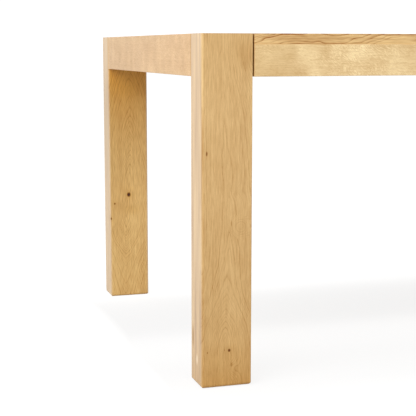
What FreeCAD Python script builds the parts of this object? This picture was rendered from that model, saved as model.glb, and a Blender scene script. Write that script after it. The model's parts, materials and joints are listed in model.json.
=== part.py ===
import FreeCAD, Part
import math
import os

# An oak dining table that extends at both ends. Each end frame is two legs, a full-height end board and a strip of
# table top. It pulls out of the centre section on two grooved lopers, and a loose leaf goes into the opening.
#
# Frame: X along the table, Y across it with the front at -Y, Z up. The origin is on the floor under the middle of the
# closed table. Every piece is drawn in the left front quarter, and mirrored from there.

Vector = FreeCAD.Vector
X_AXIS = Vector(1, 0, 0)
Y_AXIS = Vector(0, 1, 0)
Z_AXIS = Vector(0, 0, 1)
ORIGIN = Vector(0, 0, 0)

# ------------------------------------------------------------------------------- driving dimensions, millimetres

# The closed table
TABLE_LENGTH = 1800.0
TABLE_WIDTH = 1000.0
TABLE_HEIGHT = 760.0
BEAM_HEIGHT = 90.0  # end board, and top panel and rail together
END_TRAVEL = 500.0  # pull of each end, the width of one loose leaf
END_GAP = 3.5  # open joint between an end frame and the centre section

# Legs
LEG_WIDTH = 113.0  # along the table
LEG_DEPTH = 78.0  # across the table
LEG_CORNER_ROUND = 6.0
LEG_JOINT_ROUND = 3.0  # beside the end board
LEG_RAIL_ROUND = 1.5  # beside the long rail
LEG_KNEE_ROUND = 3.0  # towards the middle of the table
LEG_TOP_ROUND = 0.8
FOOT_ROUND = 7.5
PAD_RADIUS = 12.0
PAD_THICK = 4.0
PAD_PROUD = 1.0  # felt below the wood of the foot
PAD_SPACING = 60.0

# Top panel and the long rails
BOARD_COUNT = 8
TOP_THICK = 22.0
TOP_EASE = 0.6
TOP_SETBACK = 1.5  # from a long rail's face to the panel's edge, so that the rail's bevel shows
RAIL_THICK = 25.0
RAIL_BEVEL = 1.5  # along the seam under the panel's edge
RAIL_EASE = 0.8
CROSS_RAIL_THICK = 25.0
STRAP_WIDTH = 60.0
STRAP_THICK = 18.0
STRAP_SPACING = 390.0

# End frames
END_BOARD_THICK = 28.0
END_BOARD_EASE = 0.8
END_JOINT_BEVEL = 1.6  # beside a leg
INNER_RAIL_THICK = 25.0
JOINT_EASE = 0.4
TENON_THICK = 10.0
TENON_SHOULDER = 10.0
END_TENON_LENGTH = 45.0
RAIL_TENON_LENGTH = 40.0
MORTISE_SPARE = 1.0  # room for glue past the end of a tenon or dowel

# Lopers, guides and keys
LOPER_INSET = 125.0  # from a leg's inner face to the loper's axis
LOPER_WIDTH = 34.0
LOPER_EASE = 1.5
LOPER_LEAD = 4.0
LOPER_TOP_PLAY = 1.0
LOPER_BOTTOM_PLAY = 3.0
LOPER_SIDE_PLAY = 0.4
LOPER_MEETING_GAP = 40.0  # between the ends of the left and right lopers
LOPER_STOP = 20.0  # wood left past the end of the groove, which stops the pull
NOTCH_PLAY = 0.5
GUIDE_WIDTH = 22.0
GUIDE_EASE = 1.5
KEY_HEIGHT = 10.0
KEY_SEAT = 8.0  # depth of the key in its guide
KEY_PROJECTION = 8.0
KEY_PLAY = 0.3  # over and under the key in the groove
KEY_TIP_PLAY = 0.6
STOP_PLAY = 0.5
GROOVE_SPARE = 0.5

# Alignment pins
PIN_BOARDS = (2, 4, 5, 7)  # boards of the panel that have a socket
PIN_RADIUS = 4.0
PIN_SEAT = 20.0
PIN_PROJECTION = 14.0
PIN_NOSE = 2.4
SOCKET_PLAY = 0.2
SOCKET_SPARE = 4.5

# Small fittings, whose round surfaces are drawn with a few flats
FLAT_COUNT = 6
PAD_FLAT_COUNT = 12
SMALLEST_ROUND = 1.0  # an arris eased by less than this has a bevel
SAME_POINT = 1e-6  # points nearer than this are one
FIT = 0.1  # all round a screw, dowel, pin or pad in its hole
DOWEL_RADIUS = 4.0
DOWEL_EASE = 1.0
DOWEL_IN_RAIL = 15.0
DOWEL_IN_CROSS = 25.0
DOWEL_PAIR = 34.0
STRIP_DOWEL_PAIR = 50.0
SCREW_RADIUS = 2.0
SCREW_HEAD_RADIUS = 4.0
SCREW_HEAD_HEIGHT = 2.2
PAN_TOP_RADIUS = 3.2
SCREW_TIP = 4.0
SCREW_COVER = 8.0  # wood left over the tip of a screw in the panel
GUIDE_SCREW_END = 60.0
COUNTERBORE_RADIUS = 5.5
COUNTERBORE_DEPTH = 8.0
STRAP_SCREW_BITE = 20.0
BOARD_SCREW_BITE = 18.0
LOPER_SCREW_BITE = 13.0
BRACKET_ARM = 40.0
BRACKET_HEIGHT = 30.0
BRACKET_THICK = 2.5
BRACKET_BEVEL = 5.0
BRACKET_HOLE = 24.0  # from the bend
CLIP_COUNT = 5  # along each long rail
CLIP_INSET = 50.0  # from a glue block to the middle of the first clip
CLIP_THICK = 1.5
CLIP_WIDTH = 20.0
CLIP_DROP = 12.5
CLIP_TONGUE = 7.0
CLIP_REACH = 9.0
CLIP_PLATE = 20.0
KERF_LENGTH = 45.0
KERF_DEPTH = 9.0
KERF_HEIGHT = 3.0
BUFFER_RADIUS = 6.0
BUFFER_PLAY = 0.3
BUFFER_INSET = 100.0  # from a loper's axis
GLUE_BLOCK_LEG = 40.0
GLUE_BLOCK_TIP = 6.0
GLUE_BLOCK_HEIGHT = 55.0

# ------------------------------------------------------------------------------- places worked out from them

HALF_LENGTH = TABLE_LENGTH / 2
HALF_WIDTH = TABLE_WIDTH / 2
BEAM_BOTTOM = TABLE_HEIGHT - BEAM_HEIGHT
PANEL_BOTTOM = TABLE_HEIGHT - TOP_THICK
PANEL_MIDDLE = TABLE_HEIGHT - TOP_THICK / 2
RAIL_MIDDLE = (BEAM_BOTTOM + PANEL_BOTTOM) / 2
PANEL_HALF_WIDTH = HALF_WIDTH - TOP_SETBACK
BOARD_WIDTH = 2 * PANEL_HALF_WIDTH / BOARD_COUNT

LEG_INNER_X = HALF_LENGTH - LEG_WIDTH
LEG_INNER_Y = HALF_WIDTH - LEG_DEPTH
END_BOARD_BACK = HALF_LENGTH - END_BOARD_THICK
INNER_RAIL_BACK = LEG_INNER_X + INNER_RAIL_THICK
CENTRE_END = LEG_INNER_X - END_GAP
RAIL_INNER_Y = HALF_WIDTH - RAIL_THICK
GUIDE_END = CENTRE_END - CROSS_RAIL_THICK
GUIDE_BOTTOM = BEAM_BOTTOM + STRAP_THICK

LOPER_Y = LEG_INNER_Y - LOPER_INSET
LOPER_TOP = PANEL_BOTTOM - LOPER_TOP_PLAY
LOPER_BOTTOM = GUIDE_BOTTOM + LOPER_BOTTOM_PLAY
LOPER_MIDDLE = (LOPER_TOP + LOPER_BOTTOM) / 2
LOPER_INNER_END = LOPER_MEETING_GAP / 2
GROOVE_INNER_END = LOPER_INNER_END + LOPER_STOP
GROOVE_HEIGHT = KEY_HEIGHT + 2 * KEY_PLAY
GROOVE_OUTER_END = GUIDE_END + GROOVE_HEIGHT / 2 + GROOVE_SPARE
GROOVE_DEPTH = KEY_PROJECTION - LOPER_SIDE_PLAY + KEY_TIP_PLAY
GUIDE_FACE = LOPER_WIDTH / 2 + LOPER_SIDE_PLAY  # from the loper's axis to a guide
KEY_NOSE = GROOVE_INNER_END + END_TRAVEL + STOP_PLAY

STRAP_PLACES = (-STRAP_SPACING, 0.0, STRAP_SPACING)
GUIDE_SCREW_LINE = -LOPER_Y - GUIDE_FACE - (GUIDE_WIDTH + KEY_SEAT) / 2  # midway in the wood behind the keys
GUIDE_SCREW_PLACES = (
    -GUIDE_END + GUIDE_SCREW_END,
    -STRAP_SPACING / 2,
    STRAP_SPACING / 2,
    GUIDE_END - GUIDE_SCREW_END,
)


# ------------------------------------------------------------------------------- shapes that repeat


def block(low, high):
    """A rectangular block between two opposite corners."""
    return Part.makeBox(high[0] - low[0], high[1] - low[1], high[2] - low[2], Vector(*low))


def eased_outline(axis, low, high, eases, rounded):
    """The face of a block at the low end of an axis, with each of its four corners eased by a size of its own."""
    u, v = (i for i in range(3) if i != axis)
    corners = ((low[u], low[v]), (high[u], low[v]), (high[u], high[v]), (low[u], high[v]))
    toward_next = ((1, 0), (0, 1), (-1, 0), (0, -1))

    def point(corner, along):
        place = [0.0, 0.0, 0.0]
        place[axis] = low[axis]
        place[u] = corner[0] + along[0]
        place[v] = corner[1] + along[1]
        return Vector(*place)

    edges = []
    first = last = None
    for i, (corner, ease) in enumerate(zip(corners, eases)):
        ahead = toward_next[i]
        back = tuple(-step for step in toward_next[i - 1])
        start = point(corner, (ease * back[0], ease * back[1]))
        end = point(corner, (ease * ahead[0], ease * ahead[1]))
        if last is not None and last.distanceToPoint(start) > SAME_POINT:
            edges.append(Part.LineSegment(last, start).toShape())
        if rounded and ease >= SMALLEST_ROUND:
            share = ease * (1 - math.sqrt(0.5))
            middle = point(corner, (share * (ahead[0] + back[0]), share * (ahead[1] + back[1])))
            edges.append(Part.Arc(start, middle, end).toShape())
        elif ease:
            edges.append(Part.LineSegment(start, end).toShape())
        first = first or start
        last = end
    if last.distanceToPoint(first) > SAME_POINT:
        edges.append(Part.LineSegment(last, first).toShape())
    return Part.Face(Part.Wire(edges))


def eased_block(low, high, along_x=None, along_y=None, along_z=None, rounded=False):
    """A block planed to up to three outlines. along_x gives the sizes that ease the four arrises which run along X,
    in the order low-low, high-low, high-high, low-high of the other two axes. along_y and along_z do the same."""
    solid = block(low, high)
    for axis, eases in enumerate((along_x, along_y, along_z)):
        if eases:
            run = [0.0, 0.0, 0.0]
            run[axis] = high[axis] - low[axis]
            solid = solid.common(eased_outline(axis, low, high, eases, rounded).extrude(Vector(*run)))
    return solid.removeSplitter()


def turned(profile, flats=FLAT_COUNT):
    """A solid about Z through (radius, height) points, the first and the last of them on the axis. Its round surfaces
    have a few flats."""
    distinct = [here for here, before in zip(profile, [None] + profile) if here != before]
    turns = [2 * math.pi * number / flats for number in range(flats + 1)]
    faces = []
    for (radius, height), (next_radius, next_height) in zip(distinct, distinct[1:]):
        for turn, next_turn in zip(turns, turns[1:]):
            corners = [
                Vector(radius * math.cos(turn), radius * math.sin(turn), height),
                Vector(radius * math.cos(next_turn), radius * math.sin(next_turn), height),
                Vector(next_radius * math.cos(next_turn), next_radius * math.sin(next_turn), next_height),
                Vector(next_radius * math.cos(turn), next_radius * math.sin(turn), next_height),
            ]
            loop = corners[1:] if radius == 0 else corners[:3] if next_radius == 0 else corners
            faces.append(Part.Face(Part.makePolygon(loop + loop[:1])))
    shell = Part.makeShell(faces)
    shell.sewShape()
    return Part.makeSolid(shell).removeSplitter()


def rod(radius, length, flats=FLAT_COUNT):
    """A plain rod along +Z from the origin."""
    return turned([(0, 0), (radius, 0), (radius, length), (0, length)], flats)


def placed(shape, point, direction):
    """A copy of a shape drawn along +Z at the origin, moved to a point and turned to a direction."""
    copy = shape.copy()
    copy.Placement = FreeCAD.Placement(Vector(*point), FreeCAD.Rotation(Z_AXIS, direction))
    return copy


def mirror_x(shape):
    """The same shape at the other end of the table."""
    return shape.mirror(ORIGIN, X_AXIS)


def mirror_y(shape):
    """The same shape at the other side of the table."""
    return shape.mirror(ORIGIN, Y_AXIS)


def front_and_rear(shapes):
    """Shapes drawn at the front, and their mirror images at the rear."""
    return shapes + [mirror_y(each) for each in shapes]


def four_corners(shape):
    """A shape and its mirror images in the other quarters of the table."""
    return front_and_rear([shape, mirror_x(shape)])


def other_side_of_loper(shape):
    """The mirror image of a shape on the other side of the front loper."""
    return shape.mirror(Vector(0, -LOPER_Y, 0), Y_AXIS)


def both_sides_of_loper(shapes):
    """Shapes drawn on the front side of the front loper, and their mirror images on its other side."""
    return shapes + [other_side_of_loper(each) for each in shapes]


def cut_by(shape, cutters):
    """A shape less those of the cutters that reach it."""
    near = [cutter for cutter in cutters if cutter.BoundBox.intersect(shape.BoundBox)]
    return shape.cut(Part.makeCompound(near)) if near else shape


# ------------------------------------------------------------------------------- fasteners and their holes


def screw(length, clear=0.0):
    """A countersunk screw along +Z from the flat of its head. With clear it is the hole that takes it."""
    head = SCREW_HEAD_RADIUS + clear
    shank = SCREW_RADIUS + clear
    tip = length + clear
    cone = [(head, 0), (shank, SCREW_HEAD_HEIGHT)]
    return turned([(0, -clear), (head, -clear)] + cone + [(shank, tip - SCREW_TIP), (0, tip)])


def pan_screw(length):
    """A pan-head screw along +Z from under its head."""
    head = [(0, -SCREW_HEAD_HEIGHT), (PAN_TOP_RADIUS, -SCREW_HEAD_HEIGHT), (SCREW_HEAD_RADIUS, 0)]
    return turned(head + [(SCREW_RADIUS, 0), (SCREW_RADIUS, length - SCREW_TIP), (0, length)])


def pan_screw_hole(length):
    """The hole for the shank of a pan-head screw."""
    shank = SCREW_RADIUS + FIT
    return turned([(0, 0), (shank, 0), (shank, length + FIT - SCREW_TIP), (0, length + FIT)])


def dowel(length):
    """A dowel along +Z with eased ends."""
    neck = DOWEL_RADIUS - DOWEL_EASE
    barrel = [(DOWEL_RADIUS, DOWEL_EASE), (DOWEL_RADIUS, length - DOWEL_EASE)]
    return turned([(0, 0), (neck, 0)] + barrel + [(neck, length), (0, length)])


def dowel_hole(length):
    """The hole that takes a dowel, with room for glue at both ends."""
    hole = rod(DOWEL_RADIUS + FIT, length + 2 * MORTISE_SPARE)
    return hole.translated(Vector(0, 0, -MORTISE_SPARE))


def dowels_at(places, length, direction):
    """The dowels at some places, and the holes that take them."""
    pegs = [placed(dowel(length), place, direction) for place in places]
    return pegs, [placed(dowel_hole(length), place, direction) for place in places]


def screws_at(places, length, direction):
    """The countersunk screws at some places, and their holes."""
    screws = [placed(screw(length), place, direction) for place in places]
    return screws, [placed(screw(length, FIT), place, direction) for place in places]


# ------------------------------------------------------------------------------- end frame, drawn at the left front


def tenon(outer, inner, top, length, spare=0.0):
    """A tenon on the -Y end of a rail whose faces lie at two distances from the middle of the table. With spare it is
    the mortise that takes it."""
    middle = -(outer + inner) / 2
    half = TENON_THICK / 2
    low = (middle - half, -LEG_INNER_Y - length - spare, BEAM_BOTTOM + TENON_SHOULDER)
    high = (middle + half, -LEG_INNER_Y, top - TENON_SHOULDER)
    return block(low, high)


def end_board_tenon(spare=0.0):
    return tenon(HALF_LENGTH, END_BOARD_BACK, TABLE_HEIGHT, END_TENON_LENGTH, spare)


def inner_rail_tenon(spare=0.0):
    return tenon(INNER_RAIL_BACK, LEG_INNER_X, PANEL_BOTTOM, RAIL_TENON_LENGTH, spare)


def pad_places():
    """Centres of the felt pads under the left front leg, at the floor."""
    middle = -(HALF_LENGTH + LEG_INNER_X) / 2
    across = -(HALF_WIDTH + LEG_INNER_Y) / 2
    return [(middle + side * PAD_SPACING / 2, across, 0.0) for side in (-1, 1)]


def strip_dowels():
    """Dowels between the left front leg and the end strip, and their holes."""
    middle = -(END_BOARD_BACK + LEG_INNER_X) / 2
    start = -LEG_INNER_Y - DOWEL_IN_CROSS
    places = [(middle + side * STRIP_DOWEL_PAIR / 2, start, PANEL_MIDDLE) for side in (-1, 1)]
    return dowels_at(places, 2 * DOWEL_IN_CROSS, Y_AXIS)


def front_leg():
    """A leg with rounded arrises, mortises for both rails and recesses for the felt pads."""
    leg = eased_block(
        (-HALF_LENGTH, -HALF_WIDTH, PAD_PROUD),
        (-LEG_INNER_X, -LEG_INNER_Y, TABLE_HEIGHT),
        along_x=(FOOT_ROUND, FOOT_ROUND, JOINT_EASE, LEG_TOP_ROUND),
        along_y=(FOOT_ROUND, FOOT_ROUND, LEG_TOP_ROUND, LEG_TOP_ROUND),
        along_z=(LEG_CORNER_ROUND, LEG_RAIL_ROUND, LEG_KNEE_ROUND, LEG_JOINT_ROUND),
        rounded=True,
    )
    cuts = [end_board_tenon(MORTISE_SPARE), inner_rail_tenon(MORTISE_SPARE)]
    recess = rod(PAD_RADIUS + FIT, PAD_THICK, PAD_FLAT_COUNT)
    cuts += [placed(recess, place, Z_AXIS) for place in pad_places()]
    return cut_by(leg, cuts + strip_dowels()[1])


def foot_pad():
    """A felt pad with an eased rim."""
    rim = PAD_PROUD / 2
    outline = [(0, 0), (PAD_RADIUS - rim, 0), (PAD_RADIUS, rim), (PAD_RADIUS, PAD_THICK), (0, PAD_THICK)]
    return turned(outline, PAD_FLAT_COUNT)


def bracket_and_screws():
    """The angle bracket on the front side of the left front loper, with its two screws and their holes."""
    bend = Vector(-END_BOARD_BACK, -LOPER_Y - LOPER_WIDTH / 2, LOPER_MIDDLE)
    half = BRACKET_HEIGHT / 2
    on_board = eased_block(
        (bend.x, bend.y - BRACKET_ARM, bend.z - half),
        (bend.x + BRACKET_THICK, bend.y, bend.z + half),
        along_x=(BRACKET_BEVEL, 0, 0, BRACKET_BEVEL),
    )
    on_loper = eased_block(
        (bend.x, bend.y - BRACKET_THICK, bend.z - half),
        (bend.x + BRACKET_ARM, bend.y, bend.z + half),
        along_y=(0, BRACKET_BEVEL, BRACKET_BEVEL, 0),
    )
    board_place = (bend.x + BRACKET_THICK, bend.y - BRACKET_HOLE, bend.z)
    loper_place = (bend.x + BRACKET_HOLE, bend.y - BRACKET_THICK, bend.z)
    in_board = screws_at([board_place], BOARD_SCREW_BITE + BRACKET_THICK, -X_AXIS)
    in_loper = screws_at([loper_place], LOPER_SCREW_BITE + BRACKET_THICK, Y_AXIS)
    holes = in_board[1] + in_loper[1]
    bracket = cut_by(on_board.fuse(on_loper).removeSplitter(), holes)
    return bracket, in_board[0] + in_loper[0], holes


def loper():
    """The left front loper: a bar with a stopped groove in each side, rounded at its ends like the keys."""
    start = -END_BOARD_BACK
    end = -LOPER_INNER_END
    side = LOPER_WIDTH / 2
    bar = eased_block(
        (start, -LOPER_Y - side, LOPER_BOTTOM),
        (end, -LOPER_Y + side, LOPER_TOP),
        along_x=(LOPER_EASE,) * 4,
        along_y=(0, LOPER_LEAD, LOPER_LEAD, 0),
        along_z=(0, LOPER_LEAD, LOPER_LEAD, 0),
    )
    groove = eased_block(
        (-GROOVE_OUTER_END, -LOPER_Y - side, LOPER_MIDDLE - GROOVE_HEIGHT / 2),
        (-GROOVE_INNER_END, -LOPER_Y - side + GROOVE_DEPTH, LOPER_MIDDLE + GROOVE_HEIGHT / 2),
        along_y=(GROOVE_HEIGHT / 2,) * 4,
        rounded=True,
    )
    return cut_by(bar, both_sides_of_loper([groove]))


def end_board():
    """The full-height board between the legs, with a tenon at each end."""
    board = eased_block(
        (-HALF_LENGTH, -LEG_INNER_Y, BEAM_BOTTOM),
        (-END_BOARD_BACK, LEG_INNER_Y, TABLE_HEIGHT),
        along_y=(END_BOARD_EASE, END_BOARD_EASE, 0, END_BOARD_EASE),
        along_z=(END_JOINT_BEVEL, 0, 0, END_JOINT_BEVEL),
    )
    return board.fuse(front_and_rear([end_board_tenon()])).removeSplitter()


def inner_rail():
    """The rail under the strip's inner edge, with a tenon at each end and a notch round each loper."""
    rail = eased_block(
        (-INNER_RAIL_BACK, -LEG_INNER_Y, BEAM_BOTTOM),
        (-LEG_INNER_X, LEG_INNER_Y, PANEL_BOTTOM),
        along_y=(RAIL_EASE, RAIL_EASE, 0, 0),
    )
    rail = rail.fuse(front_and_rear([inner_rail_tenon()])).removeSplitter()
    notch = block(
        (-INNER_RAIL_BACK, -LOPER_Y - LOPER_WIDTH / 2, LOPER_BOTTOM),
        (-LEG_INNER_X, -LOPER_Y + LOPER_WIDTH / 2, PANEL_BOTTOM),
    )
    return cut_by(rail, front_and_rear([notch]))


def board_middle(number):
    """Where a board of the panel has its middle, across the table. The boards are counted from the front."""
    return -PANEL_HALF_WIDTH + (number - 0.5) * BOARD_WIDTH


def pin_places(distance):
    """Places in line with the middles of some boards, at a distance from the middle of the table."""
    return [(-distance, board_middle(number), PANEL_MIDDLE) for number in PIN_BOARDS]


def alignment_pins():
    """Round-nosed pins in the strip's inner edge, and their holes."""
    length = PIN_SEAT + PIN_PROJECTION
    shoulder = [(PIN_RADIUS, length - PIN_NOSE), (PIN_RADIUS - PIN_NOSE / 3, length - PIN_NOSE / 3)]
    peg = turned([(0, 0), (PIN_RADIUS, 0)] + shoulder + [(PIN_RADIUS - PIN_NOSE, length), (0, length)])
    hole = rod(PIN_RADIUS + FIT, length)
    places = pin_places(LEG_INNER_X + PIN_SEAT)
    return [placed(peg, at, X_AXIS) for at in places], [placed(hole, at, X_AXIS) for at in places]


def end_strip(holes):
    """The strip of table top behind the end board."""
    strip = eased_block(
        (-END_BOARD_BACK, -LEG_INNER_Y, PANEL_BOTTOM),
        (-LEG_INNER_X, LEG_INNER_Y, TABLE_HEIGHT),
        along_y=(0, 0, TOP_EASE, 0),
    )
    return cut_by(strip, holes)


def glue_block(corner):
    """A three-sided block with blunt tips, under the panel in the inner corner at a place of the plan."""
    plan = (
        (0, 0),
        (GLUE_BLOCK_LEG, 0),
        (GLUE_BLOCK_LEG, GLUE_BLOCK_TIP),
        (GLUE_BLOCK_TIP, GLUE_BLOCK_LEG),
        (0, GLUE_BLOCK_LEG),
    )
    bottom = PANEL_BOTTOM - GLUE_BLOCK_HEIGHT
    points = [Vector(corner[0] + x, corner[1] + y, bottom) for x, y in plan]
    return Part.Face(Part.makePolygon(points + points[:1])).extrude(Vector(0, 0, GLUE_BLOCK_HEIGHT))


def end_frame():
    """Every piece of the left end frame, by name."""
    leg = front_leg()
    pads = [placed(foot_pad(), place, Z_AXIS) for place in pad_places()]
    bracket, screws, screw_holes = bracket_and_screws()
    screw_holes = both_sides_of_loper(screw_holes)
    dowels, dowel_holes = strip_dowels()
    pins, pin_holes = alignment_pins()
    front_loper = cut_by(loper(), screw_holes)
    corner = glue_block((-END_BOARD_BACK, -LEG_INNER_Y))
    return {
        "front_leg": leg,
        "rear_leg": mirror_y(leg),
        "end_board": cut_by(end_board(), front_and_rear(screw_holes)),
        "end_strip": end_strip(front_and_rear(dowel_holes) + pin_holes),
        "inner_rail": inner_rail(),
        "front_loper": front_loper,
        "rear_loper": mirror_y(front_loper),
        "loper_brackets": Part.makeCompound(front_and_rear(both_sides_of_loper([bracket]))),
        "bracket_screws": Part.makeCompound(front_and_rear(both_sides_of_loper(screws))),
        "end_dowels": Part.makeCompound(front_and_rear(dowels)),
        "alignment_pins": Part.makeCompound(pins),
        "end_glue_blocks": Part.makeCompound(front_and_rear([corner])),
        "foot_pads": Part.makeCompound(front_and_rear(pads)),
    }


# ------------------------------------------------------------------------------- centre section


def cross_rail():
    """The left end rail of the centre section, with a notch round each loper."""
    rail = eased_block(
        (-CENTRE_END, -RAIL_INNER_Y, BEAM_BOTTOM),
        (-GUIDE_END, RAIL_INNER_Y, PANEL_BOTTOM),
        along_y=(RAIL_EASE, RAIL_EASE, 0, 0),
    )
    side = LOPER_WIDTH / 2 + NOTCH_PLAY
    notch = block(
        (-CENTRE_END, -LOPER_Y - side, LOPER_BOTTOM - NOTCH_PLAY),
        (-GUIDE_END, -LOPER_Y + side, PANEL_BOTTOM),
    )
    return cut_by(rail, front_and_rear([notch]))


def key(clear=0.0):
    """The slide key on the front side of the left front loper, with a round nose. With clear it is its seat."""
    face = -LOPER_Y - GUIDE_FACE
    projection = 0.0 if clear else KEY_PROJECTION
    return eased_block(
        (-GUIDE_END, face - KEY_SEAT, LOPER_MIDDLE - KEY_HEIGHT / 2),
        (-KEY_NOSE + clear, face + projection, LOPER_MIDDLE + KEY_HEIGHT / 2),
        along_y=(0, KEY_HEIGHT / 2, KEY_HEIGHT / 2, 0),
        rounded=True,
    )


def outer_guide(holes):
    """The guide batten on the front side of the front lopers."""
    face = -LOPER_Y - GUIDE_FACE
    batten = eased_block(
        (-GUIDE_END, face - GUIDE_WIDTH, GUIDE_BOTTOM),
        (GUIDE_END, face, PANEL_BOTTOM),
        along_x=(GUIDE_EASE, GUIDE_EASE, 0, 0),
    )
    seat = key(clear=FIT)
    return cut_by(batten, [seat, mirror_x(seat)] + holes)


def guide_fixings():
    """Screws that hold the front outer guide to the panel, and their holes with counterbores."""
    seat = GUIDE_BOTTOM + COUNTERBORE_DEPTH
    places = [(place, GUIDE_SCREW_LINE, seat) for place in GUIDE_SCREW_PLACES]
    screws, holes = screws_at(places, TABLE_HEIGHT - SCREW_COVER - seat, Z_AXIS)
    bore = rod(COUNTERBORE_RADIUS, COUNTERBORE_DEPTH)
    bores = [placed(bore, (place, GUIDE_SCREW_LINE, GUIDE_BOTTOM), Z_AXIS) for place in GUIDE_SCREW_PLACES]
    return screws, holes + bores


def strap_fixings():
    """Screws that hold the straps to the front outer guide, and their holes."""
    places = [(place, GUIDE_SCREW_LINE, BEAM_BOTTOM) for place in STRAP_PLACES]
    return screws_at(places, STRAP_THICK + STRAP_SCREW_BITE, Z_AXIS)


def rail_dowels():
    """Dowels between the front rail and the cross rails and straps, and their holes."""
    start = -RAIL_INNER_Y - DOWEL_IN_RAIL
    rail_x = (CENTRE_END + GUIDE_END) / 2
    places = [
        (end * rail_x, start, RAIL_MIDDLE + side * DOWEL_PAIR / 2) for end in (-1, 1) for side in (-1, 1)
    ]
    places += [(place, start, BEAM_BOTTOM + STRAP_THICK / 2) for place in STRAP_PLACES]
    return dowels_at(places, DOWEL_IN_RAIL + DOWEL_IN_CROSS, Y_AXIS)


def clip_places():
    """Places of the clips along a long rail, evenly between its glue blocks."""
    first = -GUIDE_END + GLUE_BLOCK_LEG + CLIP_INSET
    step = -2 * first / (CLIP_COUNT - 1)
    return [first + number * step for number in range(CLIP_COUNT)]


def top_clips():
    """The Z-shaped clips of the front rail, their screws, and the holes and kerfs that take them."""
    tongue = PANEL_BOTTOM - CLIP_DROP
    tip = -RAIL_INNER_Y - CLIP_TONGUE
    riser = -RAIL_INNER_Y + CLIP_REACH
    end = riser + CLIP_PLATE
    section = (
        (tip, tongue),
        (riser - CLIP_THICK, tongue),
        (riser - CLIP_THICK, PANEL_BOTTOM),
        (end, PANEL_BOTTOM),
        (end, PANEL_BOTTOM - CLIP_THICK),
        (riser, PANEL_BOTTOM - CLIP_THICK),
        (riser, tongue - CLIP_THICK),
        (tip, tongue - CLIP_THICK),
    )
    clips = []
    screws = []
    holes = []
    kerfs = []
    length = TOP_THICK - SCREW_COVER + CLIP_THICK
    for place in clip_places():
        points = [Vector(place - CLIP_WIDTH / 2, y, z) for y, z in section]
        clip = Part.Face(Part.makePolygon(points + points[:1])).extrude(Vector(CLIP_WIDTH, 0, 0))
        seat = (place, (riser + end) / 2, PANEL_BOTTOM - CLIP_THICK)
        hole = placed(pan_screw_hole(length), seat, Z_AXIS)
        clips.append(clip.cut(hole))
        screws.append(placed(pan_screw(length), seat, Z_AXIS))
        holes.append(hole)
        kerfs.append(
            block(
                (place - KERF_LENGTH / 2, -RAIL_INNER_Y - KERF_DEPTH, tongue - KERF_HEIGHT),
                (place + KERF_LENGTH / 2, -RAIL_INNER_Y, tongue),
            )
        )
    return clips, screws, holes, kerfs


def front_rail(cuts):
    """The long rail under the panel's front edge, with a bevelled seam."""
    rail = eased_block(
        (-CENTRE_END, -HALF_WIDTH, BEAM_BOTTOM),
        (CENTRE_END, -RAIL_INNER_Y, PANEL_BOTTOM),
        along_x=(RAIL_EASE, RAIL_EASE, 0, RAIL_BEVEL),
        along_y=(RAIL_EASE, RAIL_EASE, 0, 0),
        along_z=(RAIL_EASE, RAIL_EASE, 0, 0),
    )
    return cut_by(rail, cuts)


def sockets():
    """Sockets for the alignment pins in the ends of the boards."""
    depth = PIN_PROJECTION - END_GAP + SOCKET_SPARE
    bore = rod(PIN_RADIUS + SOCKET_PLAY, depth)
    left = [placed(bore, place, X_AXIS) for place in pin_places(CENTRE_END)]
    return left + [mirror_x(each) for each in left]


def top_boards(holes):
    """The boards of the panel, from the front to the rear. Only the outer two have eased long arrises."""
    boards = []
    for number in range(1, BOARD_COUNT + 1):
        front = TOP_EASE if number == 1 else 0
        rear = TOP_EASE if number == BOARD_COUNT else 0
        board = eased_block(
            (-CENTRE_END, board_middle(number) - BOARD_WIDTH / 2, PANEL_BOTTOM),
            (CENTRE_END, board_middle(number) + BOARD_WIDTH / 2, TABLE_HEIGHT),
            along_x=(front, rear, rear, front),
            along_y=(TOP_EASE,) * 4,
            along_z=(front, front, rear, rear),
        )
        boards.append(cut_by(board, holes))
    return boards


def strap(place, holes):
    """A cross strap under the guides, between the long rails."""
    flat = eased_block(
        (place - STRAP_WIDTH / 2, -RAIL_INNER_Y, BEAM_BOTTOM),
        (place + STRAP_WIDTH / 2, RAIL_INNER_Y, GUIDE_BOTTOM),
        along_y=(RAIL_EASE, RAIL_EASE, 0, 0),
    )
    return cut_by(flat, holes)


def stop_buffer():
    """The left front rubber buffer, on the outer face of the cross rail."""
    disc = rod(BUFFER_RADIUS, END_GAP - BUFFER_PLAY, PAD_FLAT_COUNT)
    return placed(disc, (-CENTRE_END, -LOPER_Y + BUFFER_INSET, LOPER_MIDDLE), -X_AXIS)


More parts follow.
